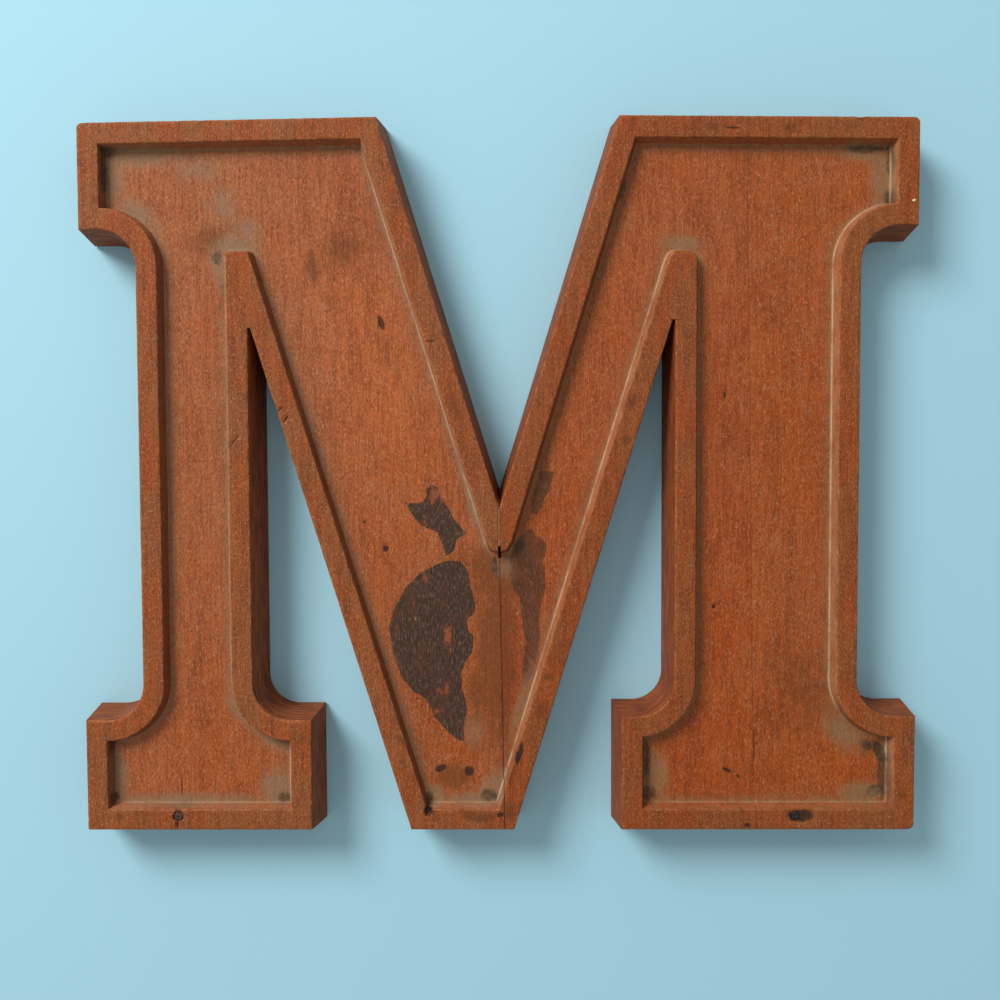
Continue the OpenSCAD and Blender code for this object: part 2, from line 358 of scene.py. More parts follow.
# Outlines of the worn patches in the picture, where the paint is gone down to dark wood
wornOutlines = {
    "body": ((427, 569), (436, 564), (448, 560), (461, 561), (468, 570), (471, 586), (476, 604), (474, 615),
             (467, 619), (468, 629), (474, 637), (473, 652), (465, 663), (461, 673), (464, 695), (468, 708),
             (464, 726), (465, 743), (457, 740), (447, 731), (434, 717), (427, 700), (412, 691), (402, 678),
             (393, 656), (389, 629), (393, 611), (405, 588), (418, 574)),
    "wing": ((400, 493), (408, 503), (423, 502), (427, 496), (426, 489), (431, 484), (438, 487), (443, 499),
             (455, 519), (467, 535), (457, 540), (455, 550), (446, 557), (442, 544), (437, 532), (421, 526),
             (411, 514)),
}
brownOutlines = {
    "upper": ((541, 471), (555, 471), (549, 491), (541, 507), (538, 515), (531, 513), (531, 498)),
    "lower": ((512, 546), (526, 530), (532, 528), (536, 536), (547, 542), (545, 560), (546, 588), (541, 606),
              (539, 622), (541, 640), (533, 672), (526, 690), (523, 676), (525, 640), (521, 616), (519, 598),
              (511, 583), (508, 566)),
}
for outlines in (wornOutlines, brownOutlines):
    for name, outline in outlines.items():
        outlines[name] = np.array([placeOn(*at, floorZ) for at in outline])

# Soft marks in the picture: haze of dust, grime in the corners, brown smudges, and crazed paint.
# Sizes are half widths and half heights, and a turn is anticlockwise.
softMarks = {
    "haze": (
        {"at": (108, 170), "size": (6.4, 13.0)},
        {"at": (134, 156), "size": (17.0, 4.4), "strong": 0.8},
        {"at": (140, 212), "size": (7.0, 3.0), "turn": -38, "strong": 0.6},
        {"at": (222, 206), "size": (4.4, 5.6), "strong": 0.45},
        {"at": (246, 230), "size": (5.0, 3.4), "strong": 0.6},
        {"at": (200, 170), "size": (7.0, 3.0), "strong": 0.35},
        {"at": (236, 244), "size": (8.0, 3.6)},
        {"at": (218, 266), "size": (2.6, 7.0), "turn": 10, "strong": 0.7},
        {"at": (683, 243), "size": (8.0, 3.0)},
        {"at": (866, 152), "size": (9.0, 3.4)},
        {"at": (882, 178), "size": (4.6, 11.0)},
        {"at": (655, 775), "size": (5.0, 9.0)},
        {"at": (278, 786), "size": (6.5, 6.0)},
        {"at": (276, 742), "size": (6.5, 3.0), "turn": -30, "strong": 0.7},
        {"at": (240, 710), "size": (3.0, 6.0), "turn": 30, "strong": 0.6},
        {"at": (115, 778), "size": (4.8, 10.0)},
        {"at": (180, 799), "size": (24.0, 1.8), "strong": 0.5},
        {"at": (842, 733), "size": (9.0, 4.6), "turn": -40, "strong": 0.7},
        {"at": (862, 792), "size": (8.0, 4.0)},
        {"at": (482, 798), "size": (12.0, 2.2)},
        {"at": (436, 796), "size": (3.4, 4.0), "turn": 10},
        {"at": (493, 788), "size": (4.4, 7.5), "turn": -30},
        {"at": (521, 702), "size": (1.8, 14.0), "turn": -17, "strong": 0.8},
        {"at": (505, 562), "size": (3.4, 6.0), "turn": 0, "strong": 0.6},
        {"at": (475, 733), "size": (3.0, 4.0), "strong": 0.4},
        {"at": (472, 500), "size": (1.6, 11.0), "turn": 17, "strong": 0.7},
    ),
    "grime": (
        {"at": (105, 152), "size": (4.4, 2.6)},
        {"at": (103, 176), "size": (2.2, 8.0)},
        {"at": (868, 149), "size": (8.6, 1.6)},
        {"at": (889, 198), "size": (2.4, 3.0)},
        {"at": (890, 160), "size": (1.4, 6.0)},
        {"at": (648, 793), "size": (3.6, 2.8)},
        {"at": (646, 760), "size": (1.6, 9.0)},
        {"at": (285, 797), "size": (3.0, 2.4)},
        {"at": (113, 796), "size": (3.0, 2.2)},
        {"at": (112, 742), "size": (1.6, 5.0)},
        {"at": (883, 770), "size": (2.2, 12.0)},
        {"at": (490, 795), "size": (3.4, 2.4)},
        {"at": (429, 798), "size": (1.8, 3.0)},
        {"at": (217, 258), "size": (1.8, 3.0)},
        {"at": (520, 546), "size": (5.0, 2.2), "turn": 45, "strong": 0.8},
        {"at": (495, 566), "size": (1.4, 4.6), "strong": 0.9},
    ),
    "smudge": (
        {"at": (498, 655), "size": (9.5, 46)},
        {"at": (500, 575), "size": (14, 16)},
        {"at": (478, 700), "size": (6, 20), "strong": 0.6},
        {"at": (455, 776), "size": (8.5, 6.0), "strong": 0.8},
        {"at": (340, 250), "size": (9, 8), "strong": 0.5},
        {"at": (312, 268), "size": (3, 8), "turn": 8, "strong": 0.7},
        {"at": (210, 240), "size": (10, 6), "turn": 20, "strong": 0.6},
        {"at": (800, 690), "size": (14, 20), "strong": 0.4},
        {"at": (183, 803), "size": (6.4, 1.5)},
        {"at": (866, 744), "size": (5.0, 4.0), "turn": -30, "strong": 0.7},
        {"at": (385, 350), "size": (4.0, 9.0), "turn": 10, "strong": 0.4},
    ),
    "crazed": (
        {"at": (785, 300), "size": (13, 50)},
        {"at": (790, 560), "size": (13, 50), "strong": 0.8},
        {"at": (380, 480), "size": (9, 16)},
        {"at": (410, 488), "size": (8, 10), "strong": 0.8},
        {"at": (450, 758), "size": (9, 11)},
        {"at": (425, 620), "size": (12, 22), "strong": 0.8},
        {"at": (190, 430), "size": (9, 70), "strong": 0.5},
        {"at": (700, 210), "size": (18, 14), "strong": 0.5},
        {"at": (590, 330), "size": (10, 30), "turn": -20, "strong": 0.5},
        {"at": (330, 400), "size": (14, 40), "turn": 17, "strong": 0.5},
    ),
}
rimMarks = (
    {"at": (482, 818), "size": (6.4, 2.4)},
    {"at": (470, 815), "size": (3.0, 2.4), "strong": 0.8},
    {"at": (511, 812), "size": (2.8, 4.6)},
    {"at": (432, 815), "size": (3.2, 2.2), "strong": 0.6},
    {"at": (313, 126), "size": (3.6, 1.2), "turn": 36, "strong": 0.8},
    {"at": (712, 126), "size": (2.8, 2.0)},
    {"at": (654, 124), "size": (1.3, 0.9)},
    {"at": (846, 128), "size": (2.2, 1.8), "strong": 0.7},
    {"at": (120, 817), "size": (2.6, 1.8)},
    {"at": (401, 740), "size": (1.6, 2.6), "turn": 20},
    {"at": (402, 762), "size": (1.2, 2.0), "turn": 20},
    {"at": (414, 778), "size": (1.4, 2.6), "turn": 10, "strong": 0.8},
    {"at": (377, 673), "size": (1.0, 1.8)},
    {"at": (541, 711), "size": (2.8, 4.2), "turn": -20},
    {"at": (549, 677), "size": (2.8, 1.8)},
    {"at": (512, 775), "size": (1.4, 5.0), "turn": -10, "strong": 0.8},
    {"at": (632, 401), "size": (2.4, 3.6), "turn": -18},
    {"at": (627, 440), "size": (2.2, 2.0), "turn": -18},
    {"at": (605, 470), "size": (1.2, 2.6), "turn": -18},
    {"at": (499, 541), "size": (2.8, 3.2)},
    {"at": (418, 340), "size": (2.6, 6), "turn": 15, "strong": 0.6},
    {"at": (456, 410), "size": (2.6, 8), "turn": 17, "strong": 0.5},
    {"at": (791, 128), "size": (2.6, 2.0)},
    {"at": (801, 122), "size": (2.0, 1.2), "strong": 0.7},
    {"at": (863, 117), "size": (2.4, 1.3), "strong": 0.9},
    {"at": (903, 795), "size": (1.8, 2.8), "strong": 0.8},
    {"at": (302, 738), "size": (2.2, 3.2), "strong": 0.7},
    {"at": (315, 745), "size": (1.4, 3.0), "strong": 0.6},
    {"at": (234, 667), "size": (2.0, 3.2), "strong": 0.5},
    {"at": (94, 200), "size": (2.0, 2.4), "strong": 0.7},
    {"at": (177, 817), "size": (4.0, 3.0), "strong": 0.6},
)


def depthIn(points, outline):
    # how far points lie inside an outline, below 0 outside
    away = np.full(len(points), 99.0)
    for a, b in zip(outline, np.roll(outline, -1, axis=0)):
        along = b - a
        t = np.clip((points - a) @ along / (along @ along), 0, 1)
        away = np.minimum(away, np.linalg.norm(points - a - t[:, None] * along, axis=1))
    return np.where(inside(points, outline), away, -away)


def inMarks(points, marks, level):
    # the union of some ellipses: up to 1 inside, below 0 outside
    field = np.full(len(points), -1.0)
    for mark in marks:
        at = np.array(placeOn(*mark["at"], level))
        a = math.radians(mark.get("turn", 0))
        turn = np.array(((math.cos(a), -math.sin(a)), (math.sin(a), math.cos(a))))
        away = np.linalg.norm((points - at) @ turn / np.array(mark["size"]), axis=1)
        field = np.maximum(field, mark.get("strong", 1.0) * (1 - away))
    return field


def scatter(loop, holes, level, spacing):
    # staggered points inside a loop, clear of its edges, closer together at the hollows
    tree = kdtree.KDTree(sum(len(h) for h in [loop] + holes))
    for k, p in enumerate(p for h in [loop] + holes for p in h):
        tree.insert((p[0], p[1], 0), k)
    tree.balance()
    low, high = loop.min(axis=0), loop.max(axis=0)
    found = []
    rows = int((high[1] - low[1]) / (spacing * 0.87))
    for j in range(rows):
        y = low[1] + j * spacing * 0.87
        x = low[0] + (j % 2) * spacing / 2
        while x < high[0]:
            found.append((x + rng.uniform(-0.2, 0.2) * spacing, y + rng.uniform(-0.2, 0.2) * spacing))
            x += spacing
    found = np.array(found)
    close = [h for h in hollows.values() if h["z"] == level]
    for h in close:
        found = found[inHollow(h, found[:, 0], found[:, 1]) > 1.5]
    for h in close:
        fine = 0.42
        reach = max(h["size"]) * 1.6 + fine
        steps = np.arange(-reach, reach, fine)
        patch = np.array([(h["x"] + a + rng.uniform(-0.1, 0.1), h["y"] + b + rng.uniform(-0.1, 0.1))
                          for a in steps for b in steps])
        found = np.vstack([found, patch[inHollow(h, patch[:, 0], patch[:, 1]) < 1.5]])
    if level == floorZ:  # closer together along the edges of the worn patches
        outlines = list(wornOutlines.values()) + list(brownOutlines.values())
        low, high = np.vstack(outlines).min(axis=0) - 2, np.vstack(outlines).max(axis=0) + 2
        fine, band = 0.8, 1.3
        patch = np.array([(x + rng.uniform(-0.1, 0.1), y + rng.uniform(-0.1, 0.1))
                          for x in np.arange(low[0], high[0], fine) for y in np.arange(low[1], high[1], fine)])
        edge = [np.min([np.abs(depthIn(points, o)) for o in outlines], axis=0) for points in (found, patch)]
        found = np.vstack([found[edge[0] >= band], patch[edge[1] < band]])
    keep = inside(found, loop)
    for h in holes:
        keep &= ~inside(found, h)
    found = found[keep]
    gap = 0.55
    return np.array([p for p in found if tree.find((p[0], p[1], 0))[2] > gap])


def fillBetween(loop, holes, level, spacing):
    # flat triangles between a loop and its holes
    points = [tuple(p) for h in [loop] + holes for p in h]
    edges = []
    first = 0
    for h in [loop] + holes:
        n = len(h)
        edges += [(first + k, first + (k + 1) % n) for k in range(n)]
        first += n
    points += [tuple(p) for p in scatter(loop, holes, level, spacing)]
    flat = delaunay_2d_cdt([Vector(p) for p in points], edges, [], 0, 1e-6, False)
    verts = np.array([(v.x, v.y) for v in flat[0]])
    faces = np.array([f for f in flat[2] if len(f) == 3])
    a, b, c = (verts[faces[:, k]] for k in range(3))
    area = np.abs((b - a)[:, 0] * (c - a)[:, 1] - (b - a)[:, 1] * (c - a)[:, 0]) / 2
    middle = (a + b + c) / 3
    keep = inside(middle, loop) & (area > 1e-3)  # the slivers lie outside, along the straight sides
    for h in holes:
        keep &= ~inside(middle, h)
    return verts, faces[keep]


shape = {"verts": [], "faces": [], "arris": [], "outer": [], "dust": []}


def addVerts(points, z, arris=0.0, outer=0.0, dust=0.0):
    first = len(shape["verts"])
    shape["verts"] += [(p[0], p[1], z) for p in points]
    shape["arris"] += [arris] * len(points)
    shape["outer"] += [outer] * len(points)
    shape["dust"] += [dust] * len(points)
    return first


def addStrips(rings):
    # rings are points, height, and how far each is arris, outer side and dusty
    last = None
    for points, z, arris, outer, dust in rings:
        first = addVerts(points, z, arris, outer, dust)
        n = len(points)
        if last is not None:
            shape["faces"] += [(last + k, last + (k + 1) % n, first + (k + 1) % n, first + k)
                               for k in range(n)]
        last = first
    return last


def roundProfile(start, radius, steps):
    return [(start - radius + radius * math.cos(a), faceZ - radius + radius * math.sin(a))
            for a in (math.pi / 2 * k / steps for k in range(steps + 1))]


def buildLetter():
    sides = letterSides()
    counts = ringCounts(sides)
    lean = math.tan(math.radians(letter["draft"]))
    rings = [(ringOf(sides, counts, faceZ * lean - 0.25), 0.0, 0.3, 1.0, 0.0)]
    for z in (0.35, 2.5, 5, 7.5, 10, 12.5, 15, 17):
        rings.append((ringOf(sides, counts, (faceZ - z) * lean), z, 0.0, 1.0, 0.0))
    wear = letter["arris"]
    for k, (grow, z) in enumerate(roundProfile(wear * lean, wear, 4)):
        rings.append((ringOf(sides, counts, grow), z, (0.3, 0.8, 1.0, 0.9, 0.35)[k], 1.0 - k / 4, 0.0))
    rings.append((ringOf(sides, counts, -wear - 0.6), faceZ, 0.0, 0.0, 0.0))
    addStrips(rings)
    rimLoop = rings[-1][0]
    shape["faces"].append(tuple(range(len(rimLoop))))  # the back

    hollowSides = recessSides()
    hollowCounts = ringCounts(hollowSides)
    wear = recess["arris"]
    innerRings = [(ringOf(hollowSides, hollowCounts, wear + 0.5), faceZ, 0.0, 0.0, 0.0)]
    for k, (grow, z) in enumerate(reversed(roundProfile(0, wear, 4))):
        innerRings.append((ringOf(hollowSides, hollowCounts, -grow), z,
                           (0.3, 0.8, 1.0, 0.7, 0.3)[k], 0.0, 0.05 * k))
    lean = math.tan(math.radians(recess["lean"]))
    fillet = recess["fillet"]
    for z in (17.3, 16.2, floorZ + fillet):
        innerRings.append((ringOf(hollowSides, hollowCounts, -(faceZ - z) * lean), z, 0.0, 0.0, 0.25))
    foot = (recess["depth"] - fillet) * lean
    for a in (30, 60, 90):
        w = math.radians(a)
        innerRings.append((ringOf(hollowSides, hollowCounts, -foot - fillet * (1 - math.cos(w))),
                           floorZ + fillet * (1 - math.sin(w)), 0.0, 0.0, 0.9))
    innerRings.append((ringOf(hollowSides, hollowCounts, -foot - fillet - 0.7), floorZ, 0.0, 0.0, 0.7))
    addStrips(innerRings)
    floorLoop = innerRings[-1][0]

    for loop, holes, level, spacing in ((rimLoop, [innerRings[0][0]], faceZ, 1.5),
                                        (floorLoop, [], floorZ, 1.7)):
        verts, faces = fillBetween(loop, holes, level, spacing)
        first = addVerts(verts, level)
        shape["faces"] += [tuple(int(first + i) for i in f) for f in faces]
    return floorLoop


floorLoop = buildLetter()
print("letter drawn:", len(shape["verts"]), "points")


def letterMesh():
    data = bpy.data.meshes.new("letter")
    data.from_pydata(shape["verts"], [], shape["faces"])
    for name in ("arris", "outer", "dust"):
        layer = data.attributes.new(name, "FLOAT", "POINT")
        layer.data.foreach_set("value", shape[name])
    bm = bmesh.new()
    bm.from_mesh(data)
    bmesh.ops.remove_doubles(bm, verts=bm.verts, dist=0.003)
    bmesh.ops.dissolve_degenerate(bm, edges=bm.edges, dist=0.001)
    bmesh.ops.recalc_face_normals(bm, faces=bm.faces)
    return bm


stainReach = 5.0  # a stain's field is kept above 0, so that 0 on a fresh cut means none


def markFields(bm):
    # writes to each point how deep it lies in the stains and the soft marks
    points = np.array([v.co[:2] for v in bm.verts])
    onRim = np.array([v.co.z for v in bm.verts]) > 17.5
    fields = {
        "stain": np.max([depthIn(points, o) for o in wornOutlines.values()], axis=0) + stainReach,
        "brownStain": np.max([depthIn(points, o) for o in brownOutlines.values()], axis=0) + stainReach,
    }
    for name, marks in softMarks.items():
        fields[name] = inMarks(points, marks, floorZ) + 1
        fields[name][onRim] = 0
    fields["smudge"][onRim] = inMarks(points, rimMarks, faceZ)[onRim] + 1
    for name, field in fields.items():
        layer = bm.verts.layers.float.new(name)
        for v, value in zip(bm.verts, np.maximum(field, 0)):
            v[layer] = value


def smoothStep(low, high, v):
    t = max(0.0, min(1.0, (v - low) / (high - low)))
    return t * t * (3 - 2 * t)


# How the wood has worn
wear = {
    "unevenness": 0.07,
    "ridges": 0.03,
    "dings": 0.34,  # how deep the dings in the outer edges are
    "innerDings": 0.16,
    "sawMarks": 0.10,
    "dustReach": 6.0,
}


def wearLetter(bm):
    arris = bm.verts.layers.float["arris"]
    outer = bm.verts.layers.float["outer"]
    dust = bm.verts.layers.float["dust"]
    loopTree = kdtree.KDTree(len(floorLoop))
    for k, p in enumerate(floorLoop):
        loopTree.insert((p[0], p[1], 0), k)
    loopTree.balance()
    close = list(hollows.values())
    for v in bm.verts:
        x, y, z = v.co
        if z < 0.01:
            continue
        nx, ny, nz = v.normal
        if v[outer] > 0.9:  # saw marks on the outer sides, only inwards
            saw = 0.5 + 0.5 * noise.noise((x * 0.5, y * 0.5, z * 0.16 + 7))
            sideways = noise.noise((x * 0.07, y * 0.07, z * 0.5))
            push = wear["sawMarks"] * (0.7 * saw + 0.3 * sideways * sideways)
            x -= nx * push
            y -= ny * push
        drop = wear["unevenness"] * (0.5 + 0.5 * noise.noise((x / 19, y / 46, z)))
        drop += wear["ridges"] * (0.5 + 0.5 * noise.noise((x / 2.1, y / 33, z)))
        if v[arris] > 0.05:
            rub = noise.noise((x / 3.1, y / 3.1, 4)) + 0.6 * noise.noise((x / 1.3, y / 1.3, 9))
            ding = max(0.0, rub - 0.25) * (wear["dings"] if z > 18 and v[outer] > 0 else wear["innerDings"])
            broad = 0.08 * (0.5 + 0.5 * noise.noise((x / 11, y / 11, 2)))
            drop += (ding * 1.5 + broad) * v[arris]
            x -= nx * ding * v[arris]
            y -= ny * ding * v[arris]
        if z > floorZ - 0.1 and nz > 0.3:
            z -= drop
        for h in close:
            if abs(x - h["x"]) < 12 and abs(y - h["y"]) < 12 and abs(v.co.z - h["z"]) < 1.2:
                away = float(inHollow(h, x, y)) + 0.35 * noise.noise((x * 1.1, y * 1.1, 3))
                z -= h["deep"] * smoothStep(1.15, 0.75, away)
        if z > floorZ + 1:  # the worn pocket at the right nail
            left = rightNail[0] - pocket["lead"]
            edge = 0.35 * noise.noise((x * 0.8, y * 0.8, 5))
            inPocket = min(smoothStep(left - 0.2, left + 0.2, x + edge + 0.35 * (y - nailY)),
                           smoothStep(left + pocket["long"] + 0.2, left + pocket["long"] - 0.2, x + edge),
                           smoothStep(bottomY + pocket["edge"] - 0.2, bottomY + pocket["edge"] + 0.25, y + edge))
            if y < bottomY + recess["rim"] + 1.5 and inPocket > 0:
                lowered = faceZ - pocket["deep"] * (0.85 + 0.25 * noise.noise((x, y, 1)))
                z = min(z, z + (lowered - z) * inPocket)
        if abs(v.co.z - floorZ) < 0.05:
            away = loopTree.find((x, y, 0))[2]
            v[dust] = max(v[dust], 0.55 * math.exp(-away / 1.8))
        v.co = (x, y, z)


def cutPlane(x, y):
    # a joint's plane through a point of the face
    a = math.radians(joints["skew"])
    return Vector((x, y, 0)), Vector((math.cos(a), math.sin(a), 0))


def cutAt(bm, plane, keepBehind):
    # keeps one side of a joint and closes the sawn face
    co, way = plane
    geom = bm.verts[:] + bm.edges[:] + bm.faces[:]
    bmesh.ops.bisect_plane(bm, geom=geom, dist=1e-5, plane_co=co, plane_no=way,
                           clear_outer=keepBehind, clear_inner=not keepBehind)
    open_ = [e for e in bm.edges if len(e.link_faces) == 1]
    bmesh.ops.contextual_create(bm, geom=open_)


def markJoint(bm, plane, wide):
    # rows of points beside a joint, so that its groove is crisp
    co, way = plane
    for shift in (-wide, wide):
        geom = bm.verts[:] + bm.edges[:] + bm.faces[:]
        bmesh.ops.bisect_plane(bm, geom=geom, dist=1e-5, plane_co=co + way * shift, plane_no=way)


def grooveJoint(bm, plane, deep):
    co, way = plane
    for v in bm.verts:
        if abs((v.co - co).dot(way)) < 1e-3 and v.co.z > floorZ - 0.5 and len(v.link_faces) > 2:
            v.co.z -= deep * (0.55 + 0.45 * noise.noise((v.co.y / 7, v.co.z, 3)))


def boardObject(name, bm, node):
    data = bpy.data.meshes.new(name)
    bmesh.ops.scale(bm, vec=(mm, mm, mm), verts=bm.verts)
    bmesh.ops.recalc_face_normals(bm, faces=bm.faces)
    bm.to_mesh(data)
    bm.free()
    data.shade_smooth()
    data.set_sharp_from_angle(angle=math.radians(42))
    piece = bpy.data.objects.new(name, data)
    scene.collection.objects.link(piece)
    return piece


def boxCutter(low, high, turn, at):
    data = bpy.data.meshes.new("cutter")
    bm = bmesh.new()
    bmesh.ops.create_cube(bm, size=1)
    for v in bm.verts:
        v.co = Vector([low[k] + (v.co[k] + 0.5) * (high[k] - low[k]) for k in range(3)])
    bmesh.ops.rotate(bm, verts=bm.verts, matrix=Matrix.Rotation(turn, 3, "Z"))
    bmesh.ops.translate(bm, verts=bm.verts, vec=at)
    bmesh.ops.scale(bm, vec=(mm, mm, mm), verts=bm.verts)
    bm.to_mesh(data)
    bm.free()
    cutter = bpy.data.objects.new("cutter", data)
    scene.collection.objects.link(cutter)
    return cutter


# How the wood has torn round each nail: bites are direction in degrees, how far, how wide in radians
torn = {
    "left": {"bites": ((95, 0.35, 0.6), (200, 0.3, 0.5)), "ragged": 0.3, "flare": 0.35},
    "right": {"bites": ((180, 0.5, 0.7), (0, 0.4, 0.6)), "ragged": 0.25, "flare": 0.2},
    "v": {"bites": ((255, 1.0, 0.28), (307, 0.85, 0.25), (100, 0.5, 0.5)), "ragged": 0.3, "flare": 0.5},
}


def nailCutter(at, mouth, pit, deep, look):
    # the shape that a nail's hole takes out of the wood, with a ragged mouth
    shank = nails["shank"] / 2 + nails["gap"]
    profile = ((shank, deep, 0), (shank, pit, 0), (mouth, pit, 0), (mouth, pit + 0.12, 0.25),
               (mouth + 0.1, faceZ - 0.35, 0.8), (mouth + look["flare"], faceZ, 1.0),
               (mouth + look["flare"] + 0.4, faceZ + 1, 1.0))
    n = 44
    bm = bmesh.new()
    last = None
    for r, z, rough in profile:
        ring = []
        for j in range(n):
            a = 2 * math.pi * j / n
            out = look["ragged"] * noise.noise((math.cos(a) * 2.4 + at[0], math.sin(a) * 2.4, 6))
            for way, far, wide in look["bites"]:
                turn = (a - math.radians(way) + math.pi) % (2 * math.pi) - math.pi
                out += far * math.exp(-(turn / wide) ** 2)
            rr = r + rough * max(out, -0.1)
            ring.append(bm.verts.new(((at[0] + rr * math.cos(a)) * mm, (at[1] + rr * math.sin(a)) * mm,
                                      z * mm)))
        if last:
            for j in range(n):
                bm.faces.new((last[j], last[(j + 1) % n], ring[(j + 1) % n], ring[j]))
        else:
            bm.faces.new(ring[::-1])
        last = ring
    bm.faces.new(last)
    bmesh.ops.recalc_face_normals(bm, faces=bm.faces)
    data = bpy.data.meshes.new("nailCutter")
    bm.to_mesh(data)
    bm.free()
    cutter = bpy.data.objects.new("nailCutter", data)
    scene.collection.objects.link(cutter)
    return cutter


def carve(piece, cutter):
    cut = piece.modifiers.new("slot", "BOOLEAN")
    cut.operation = "DIFFERENCE"
    cut.solver = "EXACT"
    cut.object = cutter
    bpy.context.view_layer.update()
    done = bpy.data.meshes.new_from_object(piece.evaluated_get(bpy.context.evaluated_depsgraph_get()))
    piece.modifiers.clear()
    piece.data = done
    done.name = piece.name


def makeBoards():
    whole = letterMesh()
    markFields(whole)
    wearLetter(whole)
    centre = cutPlane(jointX, notchY)
    outerCut = cutPlane(outerJointX, 0)
    markJoint(whole, centre, joints["grooveWide"])
    markJoint(whole, outerCut, joints["grooveWide"])
    plan = (("leftBoard", "left_board", ((centre, True),)),
            ("innerBoard", "inner_board", ((centre, False), (outerCut, True))),
            ("outerBoard", "outer_board", ((outerCut, False),)))
    boards = {}
    for name, node, cuts in plan:
        bm = whole.copy()
        for plane, keepBehind in cuts:
            cutAt(bm, plane, keepBehind)
        for plane, _ in cuts:
            grooveJoint(bm, plane, joints["centreGroove"] if plane is centre else joints["outerGroove"])
        boards[name] = boardObject(name, bm, node)
        print(name, len(boards[name].data.polygons), "faces")
    whole.free()
    cutter = boxCutter((-joints["slotWide"] / 2, -slotLong, faceZ - joints["slotDeep"]),
                       (joints["slotWide"] / 2, 40, faceZ + 1), math.radians(joints["skew"]),
                       (jointX, notchY, 0))
    for name in ("leftBoard", "innerBoard"):
        carve(boards[name], cutter)
    bpy.data.objects.remove(cutter)
    gap = nails["gap"]
    under = faceZ - nails["sink"] - nails["headThick"]
    for name, at, mouth, pit, look in (
        ("leftBoard", leftNail, nails["head"] / 2 + gap, under - gap, torn["left"]),
        ("outerBoard", rightNail, nails["head"] / 2 + gap, under - gap, torn["right"]),
        ("leftBoard", vNail, 1.1, faceZ - nails["stumpSink"] - 0.35, torn["v"]),
    ):
        cutter = nailCutter(at, mouth, pit, under - nails["long"] - gap, look)
        carve(boards[name], cutter)
        bpy.data.objects.remove(cutter)
    for name, node, _ in plan:
        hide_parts(node)
        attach(boards[name], body)
    return boards


boards = makeBoards()
print("boards made")


def lathe(name, at, profile, rough, seed):
    # a turned piece with a rough skin, closed at both ends
    n = 30
    bm = bmesh.new()
    last = None
    for r, z in profile:
        ring = []
        for j in range(n):
            a = 2 * math.pi * j / n
            push = noise.noise((math.cos(a) * 1.7 + seed, math.sin(a) * 1.7, z * 1.4)) * rough
            rr = max(0.02, r - abs(push) * min(1, r))
            lift = 0.5 * rough * noise.noise((rr * math.cos(a) * 1.9 + seed, rr * math.sin(a) * 1.9, 2))
            ring.append(bm.verts.new((at[0] + rr * math.cos(a), at[1] + rr * math.sin(a), z + min(0, lift))))
        if last:
            for j in range(n):
                bm.faces.new((last[j], last[(j + 1) % n], ring[(j + 1) % n], ring[j]))
        else:
            bm.faces.new(ring[::-1])
        last = ring
    bm.faces.new(last)
    bmesh.ops.recalc_face_normals(bm, faces=bm.faces)
    bmesh.ops.scale(bm, vec=(mm, mm, mm), verts=bm.verts)
    data = bpy.data.meshes.new(name)
    bm.to_mesh(data)
    bm.free()
    data.shade_smooth()
    data.set_sharp_from_angle(angle=math.radians(50))
    piece = bpy.data.objects.new(name, data)
    scene.collection.objects.link(piece)
    return piece


def shankProfile(top):
    r = nails["shank"] / 2
    low = top - nails["long"]
    profile = [(r / 5, low), (r * 0.6, low + nails["point"] * 0.5), (r, low + nails["point"])]
    z = low + nails["point"] + 1
    while z < top - 0.4:
        profile.append((r, z))
        z += 1
    return profile


def makeNails():
    under = faceZ - nails["sink"] - nails["headThick"]
    top = faceZ - nails["sink"]
    r = nails["head"] / 2
    head = [(nails["shank"] / 2, under), (r * 0.9, under), (r, under + 0.2), (r, top - 0.35),
            (r * 0.93, top - 0.14), (r * 0.8, top - 0.05), (r * 0.6, top), (r * 0.4, top - 0.02),
            (r * 0.2, top - 0.05), (r * 0.06, top - 0.06)]
    made = {}
    for name, node, at, seed in (("leftFootNail", "left_foot_nail", leftNail, 3.0),
                                 ("rightFootNail", "right_foot_nail", rightNail, 8.0)):
        made[name] = lathe(name, at, shankProfile(under) + head, 0.16, seed)
        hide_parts(node)
    stump = faceZ - nails["stumpSink"]
    s = nails["shank"] / 2
    broken = [(s, stump - 0.5), (s * 0.95, stump - 0.2), (s * 0.7, stump - 0.05), (s * 0.3, stump - 0.2)]
    made["vFootNail"] = lathe("vFootNail", vNail, shankProfile(stump) + broken, 0.2, 5.0)
    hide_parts("v_foot_nail")
    for piece in made.values():
        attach(piece, body)
    return made


